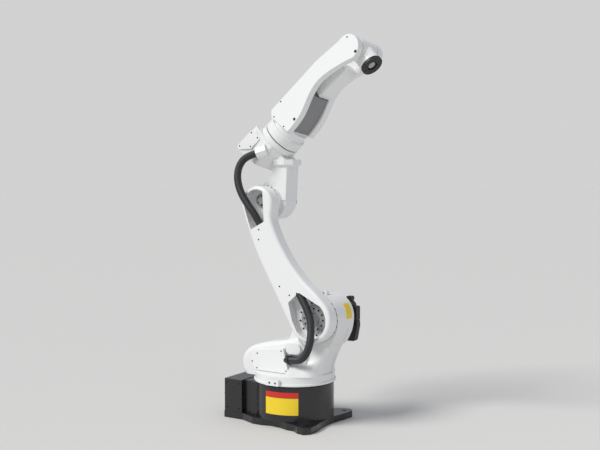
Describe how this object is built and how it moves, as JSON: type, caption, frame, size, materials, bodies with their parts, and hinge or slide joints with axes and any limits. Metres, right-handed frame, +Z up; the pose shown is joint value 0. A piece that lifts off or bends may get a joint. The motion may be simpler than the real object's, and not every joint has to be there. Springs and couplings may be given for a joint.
{
  "type": "articulated robot arm",
  "caption": "White floor-mounted industrial robot arm with six turning joints, a curved lower arm, a forked forearm and two outside hoses.",
  "frame": {"origin": "on the floor under the middle of the round column, on the turning axis of the turret", "axes": "+X forward, away from the rear connector box; +Z up; the lower arm is on the -Y side"},
  "size_m": [0.7153, 0.3878, 1.6008],
  "materials": {
    "white_paint": "satin",
    "black_paint": "satin",
    "grey_casting": "matte",
    "black_metal": "matte",
    "bare_steel": "satin",
    "black_plastic": "matte",
    "brass": "satin",
    "dark_rubber": "matte"
  },
  "bodies": {
    "base": {"base_casting": "black_paint", "connector_box": "black_paint", "connector_panel": "bare_steel", "power_connector": "black_plastic", "signal_connector": "black_plastic", "air_fitting": "brass", "turning_bearing": "grey_casting"},
    "turret": {"turret_rim": "white_paint", "turret_casting": "white_paint", "turret_side_cover": "white_paint", "turret_hose_gland": "black_plastic", "stop_block": "white_paint", "lifting_lug": "white_paint", "shoulder_motor": "black_metal", "shoulder_power_plug": "black_plastic", "shoulder_signal_plug": "black_plastic", "shoulder_gear_ring": "grey_casting"},
    "lower_arm": {"lower_arm_casting": "white_paint", "shoulder_gear_face": "grey_casting", "elbow_gear_face": "grey_casting", "lower_hose": "dark_rubber"},
    "elbow": {"elbow_casting": "white_paint", "elbow_collar": "white_paint", "elbow_side_cover": "white_paint", "elbow_hose_boss": "white_paint", "elbow_hose_gland": "black_plastic", "elbow_motor": "black_metal", "elbow_motor_plug": "black_plastic", "elbow_gear_ring": "grey_casting", "forearm_motor_plug": "black_plastic", "elbow_front_lid": "white_paint", "upper_hose": "dark_rubber", "forearm_bearing": "grey_casting"},
    "forearm": {"forearm_base": "white_paint", "forearm_casting": "white_paint", "near_fork_cover": "white_paint", "far_fork_cover": "white_paint", "channel_cover": "grey_casting", "inner_housing": "white_paint"},
    "wrist": {"wrist_housing": "white_paint"},
    "flange": {"tool_flange": "black_metal", "flange_core": "bare_steel"}
  },
  "joints": [
    {"name": "turn", "type": "hinge", "parent": "base", "child": "turret", "pos_m": [0, 0, 0.1745], "axis": [0, 0, 1], "range_deg": [-170, 170]},
    {"name": "shoulder_swing", "type": "hinge", "parent": "turret", "child": "lower_arm", "pos_m": [0.15, 0, 0.455], "axis": [0, 1, 0], "range_deg": [-45, 100], "deforming": ["lower_hose"]},
    {"name": "elbow_swing", "type": "hinge", "parent": "lower_arm", "child": "elbow", "pos_m": [-0.10405, 0, 0.93603], "axis": [0, -1, 0], "range_deg": [-90, 110], "deforming": ["upper_hose"]},
    {"name": "forearm_roll", "type": "hinge", "parent": "elbow", "child": "forearm", "pos_m": [-0.21646, 0, 1.06088], "axis": [0.7431, 0, 0.6691], "range_deg": [-150, 150]},
    {"name": "wrist_bend", "type": "hinge", "parent": "forearm", "child": "wrist", "pos_m": [0.31414, 0, 1.53864], "axis": [0.1391, 0.9781, -0.1545], "range_deg": [-213, 37]},
    {"name": "flange_turn", "type": "hinge", "parent": "wrist", "child": "flange", "pos_m": [0.37534, -0.0187, 1.47536], "axis": [0.68, -0.2078, -0.7031], "range_deg": [-180, 180]}
  ]
}
